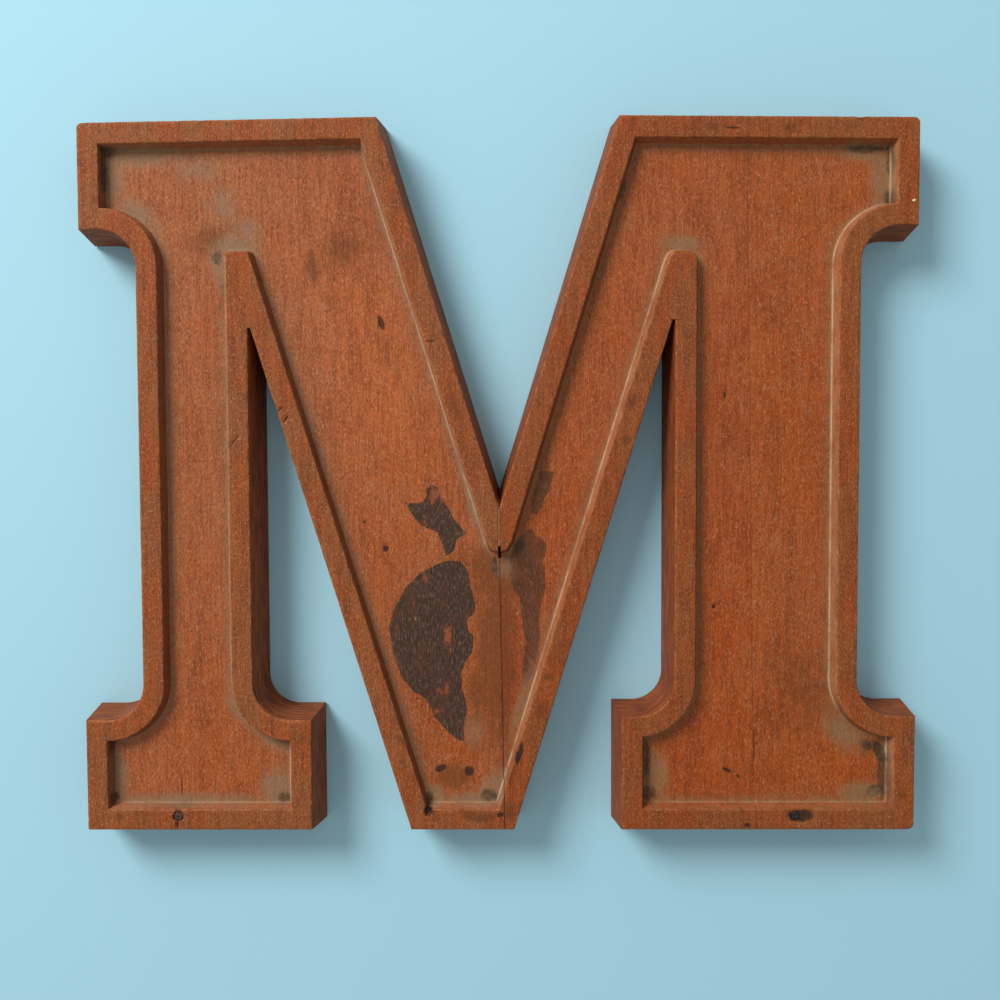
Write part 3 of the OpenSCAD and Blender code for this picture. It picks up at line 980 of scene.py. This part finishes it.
def makeFiller():
    # the strip in the open joint, a little shrunk and with soft edges
    low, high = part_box("joint_filler")
    bm = bmesh.new()
    bm.from_mesh(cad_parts["joint_filler"].data)
    bmesh.ops.remove_doubles(bm, verts=bm.verts, dist=1e-6)
    bmesh.ops.dissolve_limit(bm, angle_limit=math.radians(1), verts=bm.verts, edges=bm.edges)
    middle = (Vector(low) + Vector(high)) / 2
    longer = 3.2 * mm  # only the last bit of the slot stays open
    for v in bm.verts:
        v.co.x = middle.x + (v.co.x - middle.x) * 0.93
        if v.co.y < middle.y:
            v.co.x += longer * math.sin(math.radians(joints["skew"]))
            v.co.y -= longer
        v.co.z -= 0.12 * mm if v.co.z > 0.0185 else 0
    bmesh.ops.bevel(bm, geom=bm.edges[:], offset=0.1 * mm, segments=2, affect="EDGES", clamp_overlap=True)
    for y in np.arange(low[1] - longer, high[1], 0.5 * mm):
        geom = bm.verts[:] + bm.edges[:] + bm.faces[:]
        bmesh.ops.bisect_plane(bm, geom=geom, dist=1e-8, plane_co=(0, y, 0), plane_no=(0, 1, 0))
    for v in bm.verts:
        if v.co.z > 0.018:
            v.co.z -= 0.15 * mm * (0.5 + 0.5 * noise.noise((v.co.x / mm, v.co.y / mm / 1.5, 0)))
    data = bpy.data.meshes.new("jointFiller")
    bm.to_mesh(data)
    bm.free()
    data.shade_smooth()
    data.set_sharp_from_angle(angle=math.radians(40))
    piece = bpy.data.objects.new("jointFiller", data)
    scene.collection.objects.link(piece)
    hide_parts("joint_filler")
    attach(piece, body)
    return piece


nailPieces = makeNails()
filler = makeFiller()
print("nails and filler made")


def tone(r, g, b):
    # a colour as it is read off a screen, 0 to 255
    def linear(c):
        c /= 255
        return c / 12.92 if c <= 0.04045 else ((c + 0.055) / 1.055) ** 2.4
    return linear(r), linear(g), linear(b), 1.0


class Nodes:
    # short ways to add and join shader nodes

    def __init__(self, name):
        self.material = bpy.data.materials.new(name)
        self.material.use_nodes = True
        self.tree = self.material.node_tree
        self.tree.nodes.clear()

    def add(self, kind, inputs, **settings):
        made = self.tree.nodes.new("ShaderNode" + kind)
        for key, value in settings.items():
            setattr(made, key, value)
        for key, value in inputs.items():
            if isinstance(value, bpy.types.NodeSocket):
                self.tree.links.new(value, made.inputs[key])
            else:
                made.inputs[key].default_value = value
        return made

    def math(self, operation, a, b=0.0, c=0.0, clamp=False):
        return self.add("Math", {0: a, 1: b, 2: c}, operation=operation, use_clamp=clamp).outputs[0]

    def ramp(self, value, low, high, first=0.0, last=1.0):
        made = self.add("MapRange", {"Value": value, "From Min": low, "From Max": high,
                                     "To Min": first, "To Max": last}, interpolation_type="SMOOTHSTEP")
        return made.outputs[0]

    def noise(self, place, scale, detail=2.0, rough=0.5, shift=0.0):
        moved = self.add("Mapping", {"Vector": place, "Location": (shift, shift * 1.7, shift * 0.3),
                                     "Scale": scale})
        made = self.add("TexNoise", {"Vector": moved.outputs[0], "Scale": 1.0, "Detail": detail,
                                     "Roughness": rough})
        return made.outputs[0]

    def mix(self, amount, a, b, blend="MIX"):
        made = self.add("Mix", {0: amount, 6: a, 7: b}, data_type="RGBA", blend_type=blend)
        return made.outputs[2]

    def value(self, name):
        return self.add("Attribute", {}, attribute_name=name).outputs["Fac"]

    def blot(self, place, at, size, turn):
        # 0 in the middle of an ellipse, 1 at its edge
        moved = self.add("Mapping", {"Vector": place, "Location": (at[0], at[1], 0),
                                     "Rotation": (0, 0, math.radians(turn)),
                                     "Scale": (size[0], size[1], 1)}, vector_type="TEXTURE")
        return self.add("VectorMath", {0: moved.outputs[0]}, operation="LENGTH").outputs["Value"]

    def blots(self, place, marks, ragged, node):
        # the union of a few ellipses: above 0 inside, below 0 outside, with a ragged edge.
        # Only those that reach a board are drawn on it, and each waits for the one before it,
        # or the shader holds too many at once and runs out of room.
        union = None
        low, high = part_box(node)
        for mark in marks:
            x, y = placeOn(*mark["at"], mark.get("z", floorZ))
            reach = max(mark["size"]) + 3
            if x + reach < low[0] / mm or x - reach > high[0] / mm:
                continue
            after = place
            if union is not None:
                after = self.add("VectorMath", {0: union, 1: (1e-6, 1e-6, 0), 2: place},
                                 operation="MULTIPLY_ADD").outputs[0]
            away = self.blot(after, (x, y), mark["size"], mark.get("turn", 0))
            strength = mark.get("strong", 1.0)
            field = self.math("MULTIPLY_ADD", away, -strength, strength)
            union = field if union is None else self.math("MAXIMUM", union, field)
        return -1.0 if union is None else self.math("ADD", union, ragged)

    def finish(self, colour, rough, height, deep, **fixed):
        bump = self.add("Bump", {"Height": height, "Strength": 1.0, "Distance": deep * mm})
        shader = self.add("BsdfPrincipled", {"Base Color": colour, "Roughness": rough,
                                             "Normal": bump.outputs[0]})
        for key, value in fixed.items():
            shader.inputs[key.replace("_", " ")].default_value = value
        out = self.add("OutputMaterial", {"Surface": shader.outputs[0]})
        return self.material


# Small crisp marks, read off the picture. Sizes are half widths and half heights, and a turn is
# anticlockwise.
# They are painted near black: painted shade inside the chips, cracks and holes, together with their dirt and
# dark marks.
darkSpots = (
    {"at": (381, 323), "size": (1.25, 3.0), "turn": 18},
    {"at": (386, 549), "size": (1.4, 1.5), "turn": 0, "strong": 0.6},
    {"at": (364, 522), "size": (0.5, 0.8), "turn": 0},
    {"at": (714, 607), "size": (0.6, 0.7), "turn": 0},
    {"at": (725, 395), "size": (0.4, 1.2), "turn": 0},
    {"at": (875, 791), "size": (3.8, 2.6), "turn": 15},
    {"at": (867, 745), "size": (2.6, 1.8), "turn": -40},
    {"at": (880, 752), "size": (2.4, 5.0), "turn": 25},
    {"at": (727, 770), "size": (2.0, 0.8), "turn": -25},
    {"at": (738, 776), "size": (0.5, 0.9), "turn": 20},
    {"at": (182, 789), "size": (0.3, 4.6), "turn": 0, "strong": 0.8},
    {"at": (754, 745), "size": (0.25, 8.5), "turn": 0, "strong": 0.6},
    {"at": (441, 768), "size": (2.8, 1.5), "turn": 25, "strong": 0.8},
    {"at": (469, 771), "size": (2.2, 2.6), "turn": 0, "strong": 0.6},
    {"at": (222, 242), "size": (0.5, 0.7), "turn": 0},
    {"at": (222, 287), "size": (0.5, 0.7), "turn": 0},
    {"at": (495, 561), "size": (0.8, 1.6), "turn": 0},
    {"at": (623, 190), "size": (0.9, 5.0), "turn": -17},
)
rimSpots = (
    {"at": (733, 127.5), "z": faceZ, "size": (2.7, 0.45), "turn": 0},
    {"at": (519, 753), "z": faceZ, "size": (1.5, 4.8), "turn": -14},
    {"at": (161, 741), "z": faceZ, "size": (0.35, 2.8), "turn": 38},
    {"at": (177, 810), "z": faceZ, "size": (1.9, 0.3), "turn": 0},
    {"at": (177, 825), "z": faceZ, "size": (0.45, 1.6), "turn": 0},
    {"at": (747, 825), "z": faceZ, "size": (1.4, 0.9), "turn": 0},
    {"at": (279, 410), "z": faceZ, "size": (1.5, 0.3), "turn": 35},
    {"at": (285, 420), "z": faceZ, "size": (1.9, 0.3), "turn": 50},
    {"at": (430, 341), "z": faceZ, "size": (2.6, 0.3), "turn": 0},
    {"at": (234, 441), "z": faceZ, "size": (0.25, 4.0), "turn": -38},
    {"at": (500, 815), "z": faceZ, "size": (1.6, 1.2), "turn": 0},
    {"at": (801, 816), "z": faceZ, "size": (5.6, 2.6), "turn": 0, "strong": 0.9},
)
holes = (
    {"at": (428, 811), "z": faceZ, "size": (2.0, 2.4), "turn": 0},
    {"at": (178, 817), "z": faceZ, "size": (2.1, 2.1), "turn": 0, "strong": 0.7},
    {"at": (795, 817), "z": faceZ, "size": (3.0, 2.3), "turn": 0, "strong": 0.8},
)
chips = ({"at": (914, 200), "z": faceZ, "size": (0.7, 0.45), "turn": 20},)

paint = {
    "orange": tone(172, 82, 24),
    "pink": tone(172, 98, 56),
    "fresh": tone(200, 104, 48),
    "rust": tone(140, 66, 24),
    "rim": tone(146, 84, 42),
    "rimOrange": tone(156, 76, 28),
    "rimDark": tone(98, 56, 30),
    "pore": tone(86, 36, 14),
    "fleck": tone(206, 150, 112),
    "bare": tone(54, 40, 32),
    "bareGrey": tone(112, 94, 78),
    "bareBrown": tone(82, 48, 34),
    "smudge": tone(104, 58, 26),
    "shadeAndDirtBlack": tone(34, 26, 22),
    "worn": tone(200, 128, 80),
    "side": tone(158, 86, 44),
    "sideDark": tone(98, 46, 22),
    "dust": tone(142, 116, 88),
    "dustHighlight": tone(206, 178, 150),
    "grime": tone(70, 56, 40),
    "shade": tone(64, 26, 8),
    "seam": tone(44, 24, 14),
    "chip": tone(244, 236, 222),
    "back": tone(150, 118, 84),
}


def seamLine(n, place, plane, wide):
    # 1 on a glue joint, 0 beside it
    co, way = plane
    away = n.add("VectorMath", {0: place, 1: tuple(way)}, operation="DOT_PRODUCT").outputs["Value"]
    away = n.math("ABSOLUTE", n.math("SUBTRACT", away, co.dot(way)))
    return n.ramp(away, wide, wide * 0.4)


def paintMaterial(name, seed, tint, node):
    n = Nodes(name)
    place = n.add("TexCoord", {}).outputs["Object"]
    place = n.add("VectorMath", {0: place, "Scale": 1 / mm}, operation="SCALE").outputs[0]
    flat = n.add("VectorMath", {0: place, 1: (1, 1, 0)}, operation="MULTIPLY").outputs[0]
    x, y, z = n.add("SeparateXYZ", {0: place}).outputs
    normal = n.add("NewGeometry", {}).outputs["Normal"]
    up = n.add("SeparateXYZ", {0: normal}).outputs[2]

    # paint on the sunk face, pinker towards the upper left
    pinkShare = n.math("MULTIPLY_ADD", x, -0.0024, n.math("MULTIPLY_ADD", y, 0.0019, 0.45))
    cloudy = n.noise(place, (0.028, 0.018, 0.03), 3, 0.6, seed)
    pinkShare = n.math("ADD", pinkShare, n.math("MULTIPLY_ADD", cloudy, 1.6, -0.8), clamp=True)
    colour = n.mix(pinkShare, paint["orange"], paint["pink"])
    bands = n.noise(place, (0.14, 0.02, 0.1), 4, 0.6, seed + 3)
    colour = n.mix(n.ramp(bands, 0.46, 0.74, 0, 0.6), colour, paint["rust"])
    if node == "left_board":
        bright = n.blot(flat, placeOn(378, 385, floorZ), (20, 50), 16)
        colour = n.mix(n.ramp(bright, 1.3, 0.2, 0.0, 0.5), colour, paint["fresh"])
    mottle = n.noise(place, (0.13, 0.085, 0.1), 4, 0.68, seed + 21)
    colour = n.mix(n.ramp(mottle, 0.5, 0.68, 0, 0.5), colour, paint["pink"])
    colour = n.mix(n.ramp(mottle, 0.47, 0.32, 0, 0.45), colour, paint["rust"])

    # the rim is browner
    onRim = n.ramp(z, 17.6, 18.4)
    rimTone = n.mix(n.ramp(n.noise(place, (0.09, 0.035, 0.1), 4, 0.65, seed + 5), 0.42, 0.6),
                    paint["rim"], paint["rimOrange"])
    scuffs = n.ramp(n.noise(place, (0.42, 0.06, 0.3), 4, 0.72, seed + 23), 0.5, 0.68, 0.0, 0.5)
    rimTone = n.mix(scuffs, rimTone, paint["rimDark"])
    colour = n.mix(n.math("MULTIPLY", onRim, 0.9), colour, rimTone)

    # fibres and pores along the grain, and pale specks painted as glints of light on the fibres
    fibre = n.noise(place, (1.1, 0.07, 0.5), 5, 0.7, seed + 7)
    colour = n.mix(n.ramp(fibre, 0.38, 0.68, 0.0, 0.42), colour, paint["pore"])
    pores = n.noise(place, (2.8, 0.9, 2.8), 3, 0.6, seed + 9)
    poreMask = n.ramp(pores, 0.5, 0.68)
    colour = n.mix(n.math("MULTIPLY", poreMask, 0.5), colour, paint["pore"])
    # painted highlight: pale specks that stand for glints of light along the grain
    paintedGlint = n.noise(place, (2.2, 0.9, 2.2), 3, 0.65, seed + 11)
    colour = n.mix(n.ramp(paintedGlint, 0.53, 0.7, 0.0, 0.5), colour, paint["fleck"])

    # pale flecks where the paint has crazed
    where = n.math("ADD", n.noise(place, (0.08, 0.04, 0.05), 3, 0.6, seed + 13),
                   n.math("MULTIPLY", n.value("crazed"), 0.16))
    fleck = n.ramp(n.noise(place, (1.5, 0.8, 1.2), 4, 0.8, seed + 15), 0.55, 0.65)
    fleckMask = n.math("MULTIPLY", n.ramp(where, 0.5, 0.8), fleck)
    colour = n.mix(n.math("MULTIPLY", fleckMask, 0.7), colour, paint["fleck"])

    # worn patches, smudges and spots, on the sunk face and on the rim
    onFace = n.math("SUBTRACT", 1.0, onRim)
    broad = n.noise(place, (0.3, 0.13, 0.3), 4, 0.7, 2)
    fine = n.noise(place, (1.5, 0.55, 1.5), 4, 0.75, 4)
    ragged = n.math("ADD", n.math("MULTIPLY_ADD", broad, 1.2, -0.6), n.math("MULTIPLY_ADD", fine, 0.8, -0.4))
    tight = n.math("MULTIPLY", ragged, 0.4)
    smudge = n.ramp(n.math("ADD", n.value("smudge"), ragged), 0.85, 1.6)
    colour = n.mix(n.math("MULTIPLY", smudge, 0.66), colour, paint["smudge"])
    if node != "outer_board":
        streaks = n.noise(place, (2.2, 0.45, 2.0), 4, 0.8, 8)
        cloud = n.noise(place, (0.22, 0.1, 0.2), 3, 0.6, 9)
        bareTone = n.mix(n.ramp(streaks, 0.5, 0.66), paint["bare"], paint["bareGrey"])
        bareTone = n.mix(n.ramp(cloud, 0.48, 0.62, 0.0, 0.6), bareTone, paint["bareBrown"])
        for name, strong in (("stain", 0.95), ("brownStain", 0.72)):
            depth = n.math("ADD", n.value(name), n.math("MULTIPLY_ADD", ragged, 1.1, -stainReach))
            patch = n.math("MULTIPLY", n.ramp(depth, 0.0, 0.22), onFace)
            left = n.math("MULTIPLY", n.ramp(fine, 0.30, 0.42, 0.6, strong), n.ramp(cloud, 0.68, 0.6, 0.4, 1.0))
            colour = n.mix(n.math("MULTIPLY", patch, left), colour, bareTone)
    spot = n.math("MULTIPLY", n.ramp(n.blots(flat, darkSpots, tight, node), 0.0, 0.3), onFace)
    rimSpot = n.math("MULTIPLY", n.ramp(n.blots(flat, rimSpots, tight, node), 0.0, 0.35), onRim)
    spots = n.math("MAXIMUM", spot, rimSpot)
    spots = n.math("MAXIMUM", spots, n.ramp(n.blots(flat, holes, tight, node), 0.0, 0.4))
    # near-black spots: painted shade in the chips, cracks and nail holes, together with their dirt
    colour = n.mix(n.math("MULTIPLY", spots, 0.85), colour, paint["shadeAndDirtBlack"])

    # haze and grime in the corners, dust at the foot of the walls, a painted highlight on that dust where the
    # walls face the lamp, painted shade on the walls that face away from it, and rubbed edges
    dustNoise = n.noise(place, (0.35, 0.35, 0.35), 4, 0.7, 6)
    grain = n.ramp(fine, 0.35, 0.6, 0.55, 1.0)
    haze = n.math("MULTIPLY", n.ramp(n.math("ADD", n.value("haze"), ragged), 0.55, 1.6), grain)
    colour = n.mix(n.math("MULTIPLY", haze, 0.8), colour, paint["dust"])
    held = n.math("MULTIPLY", n.value("dust"), n.ramp(dustNoise, 0.3, 0.65, 0.25, 0.8))
    colour = n.mix(held, colour, paint["dust"])
    grime = n.math("MULTIPLY", n.ramp(n.math("ADD", n.value("grime"), ragged), 0.8, 1.5), grain)
    colour = n.mix(n.math("MULTIPLY", grime, 0.85), colour, paint["grime"])
    # how far a surface faces the lamp at the upper left
    towardLamp = n.add("VectorMath", {0: normal, 1: (-0.9, 0.4, 0.15)}, operation="DOT_PRODUCT").outputs["Value"]
    # painted highlight: the dust at the foot of the walls is lightened where the wall faces the lamp
    pale = n.math("MULTIPLY", n.value("dust"), n.ramp(towardLamp, 0.2, 0.8, 0.0, 0.8))
    patchy = n.ramp(n.noise(place, (0.14, 0.09, 0.2), 3, 0.6, 12), 0.35, 0.6, 0.25, 1.0)
    colour = n.mix(n.math("MULTIPLY", pale, patchy), colour, paint["dustHighlight"])
    # painted shade on the walls that face away from the lamp
    colour = n.mix(n.ramp(towardLamp, -0.3, -0.75, 0.0, 0.45), colour, paint["shade"])
    arris = n.value("arris")
    rub = n.ramp(n.noise(place, (0.5, 0.5, 0.5), 3, 0.6, seed + 17), 0.4, 0.72, 0.0, 0.55)
    colour = n.mix(n.math("MULTIPLY", arris, rub), colour, paint["worn"])
    chip = n.ramp(n.blots(flat, chips, tight, node), 0.0, 0.3)
    if node == "outer_board":
        colour = n.mix(chip, colour, paint["chip"])

    # sawn outer sides, thinly painted, and the bare back
    saw = n.noise(place, (0.12, 0.12, 1.2), 4, 0.65, seed + 19)
    sideTone = n.mix(n.ramp(saw, 0.35, 0.65), paint["sideDark"], paint["side"])
    steep = n.ramp(up, 0.75, 0.35)
    colour = n.mix(n.math("MULTIPLY", n.math("MULTIPLY", n.value("outer"), steep), 0.85), colour, sideTone)
    backTone = n.mix(n.ramp(fibre, 0.35, 0.7), paint["back"], paint["sideDark"])
    colour = n.mix(n.ramp(up, -0.5, -0.8), colour, backTone)

    # dark glue joints
    if node != "outer_board":
        dark = n.math("MULTIPLY", seamLine(n, place, cutPlane(jointX, notchY), 0.26), 0.7)
        colour = n.mix(dark, colour, paint["seam"])
    if node != "left_board":
        dark = n.math("MULTIPLY", seamLine(n, place, cutPlane(outerJointX, 0), 0.22), 0.25)
        colour = n.mix(dark, colour, paint["seam"])
    colour = n.mix(1.0, colour, tint, "MULTIPLY")

    rough = n.ramp(fine, 0.3, 0.7, 0.6, 0.78)
    height = n.math("MULTIPLY_ADD", poreMask, -0.35, n.math("MULTIPLY", fibre, 0.9))
    height = n.math("MULTIPLY_ADD", fleckMask, 0.4, height)
    return n.finish(colour, rough, height, 0.2, Specular_IOR_Level=0.22)


def rustMaterial(name, seed, dark, light):
    n = Nodes(name)
    place = n.add("TexCoord", {}).outputs["Object"]
    place = n.add("VectorMath", {0: place, "Scale": 1 / mm}, operation="SCALE").outputs[0]
    crust = n.noise(place, (1.3, 1.3, 1.3), 4, 0.65, seed)
    grit = n.noise(place, (5, 5, 5), 3, 0.6, seed + 2)
    colour = n.mix(n.ramp(crust, 0.4, 0.62), dark, light)
    colour = n.mix(n.ramp(grit, 0.45, 0.75, 0, 0.6), colour, dark)
    height = n.math("MULTIPLY_ADD", grit, 0.4, crust)
    return n.finish(colour, n.ramp(grit, 0.3, 0.7, 0.65, 0.9), height, 0.2, Metallic=0.25)


def fillerMaterial():
    n = Nodes("fillerWood")
    place = n.add("TexCoord", {}).outputs["Object"]
    place = n.add("VectorMath", {0: place, "Scale": 1 / mm}, operation="SCALE").outputs[0]
    fibre = n.noise(place, (4, 0.4, 2), 4, 0.6, 1)
    colour = n.mix(n.ramp(fibre, 0.35, 0.7), tone(150, 92, 52), tone(110, 62, 34))
    return n.finish(colour, n.ramp(fibre, 0.3, 0.7, 0.6, 0.75), fibre, 0.1)


def plain(name, colour):
    n = Nodes(name)
    shader = n.add("BsdfPrincipled", {"Base Color": colour, "Roughness": 0.9})
    n.add("OutputMaterial", {"Surface": shader.outputs[0]})
    return n.material


def dress(piece, material):
    piece.data.materials.clear()
    piece.data.materials.append(material)


dress(boards["leftBoard"], paintMaterial("leftPaint", 0.0, (1.0, 1.0, 1.0, 1.0), "left_board"))
dress(boards["innerBoard"], paintMaterial("innerPaint", 40.0, (0.97, 0.88, 0.76, 1.0), "inner_board"))
dress(boards["outerBoard"], paintMaterial("outerPaint", 80.0, (0.98, 0.94, 0.82, 1.0), "outer_board"))
dress(nailPieces["leftFootNail"], rustMaterial("rustBrown", 1, tone(40, 31, 26), tone(98, 78, 64)))
dress(nailPieces["rightFootNail"], rustMaterial("rustBlack", 5, tone(24, 20, 18), tone(58, 44, 36)))
dress(nailPieces["vFootNail"], rustMaterial("rustGrey", 9, tone(20, 17, 15), tone(96, 88, 80)))
dress(filler, fillerMaterial())
print("finishes made")

# Floor, light and sky
studio = {
    "floor": tone(165, 212, 227),
    "lampPlace": (-0.9, 0.95, 1.0),  # metres
    "lampSize": 0.38,
    "lampPower": 100.0,
    "lampCone": 78,
    "sky": 0.45,
}


def makeStudio():
    bm = bmesh.new()
    bmesh.ops.create_grid(bm, x_segments=2, y_segments=2, size=3)
    data = bpy.data.meshes.new("floor")
    bm.to_mesh(data)
    bm.free()
    floor = bpy.data.objects.new("floor", data)
    scene.collection.objects.link(floor)
    floor.location.z = -0.0003
    dress(floor, plain("floorPaint", studio["floor"]))
    lamp = bpy.data.lights.new("window", "SPOT")  # the cone keeps the floor below the lamp from glaring
    lamp.shadow_soft_size = studio["lampSize"]
    lamp.energy = studio["lampPower"]
    lamp.spot_size = math.radians(studio["lampCone"])
    lamp.spot_blend = 0.7
    lampObject = bpy.data.objects.new("window", lamp)
    scene.collection.objects.link(lampObject)
    place = Vector(studio["lampPlace"])
    lampObject.location = place
    lampObject.rotation_euler = place.to_track_quat("Z", "Y").to_euler()
    world = bpy.data.worlds.new("sky")
    scene.world = world
    world.use_nodes = True
    tree = world.node_tree
    tree.nodes.clear()
    light = tree.nodes.new("ShaderNodeBackground")
    light.inputs["Color"].default_value = (1, 1, 1, 1)
    light.inputs["Strength"].default_value = studio["sky"]
    seen = tree.nodes.new("ShaderNodeBackground")
    seen.inputs["Color"].default_value = studio["floor"]
    choose = tree.nodes.new("ShaderNodeMixShader")
    path = tree.nodes.new("ShaderNodeLightPath")
    out = tree.nodes.new("ShaderNodeOutputWorld")
    tree.links.new(path.outputs["Is Camera Ray"], choose.inputs[0])
    tree.links.new(light.outputs[0], choose.inputs[1])
    tree.links.new(seen.outputs[0], choose.inputs[2])
    tree.links.new(choose.outputs[0], out.inputs["Surface"])


makeStudio()
print("studio ready")
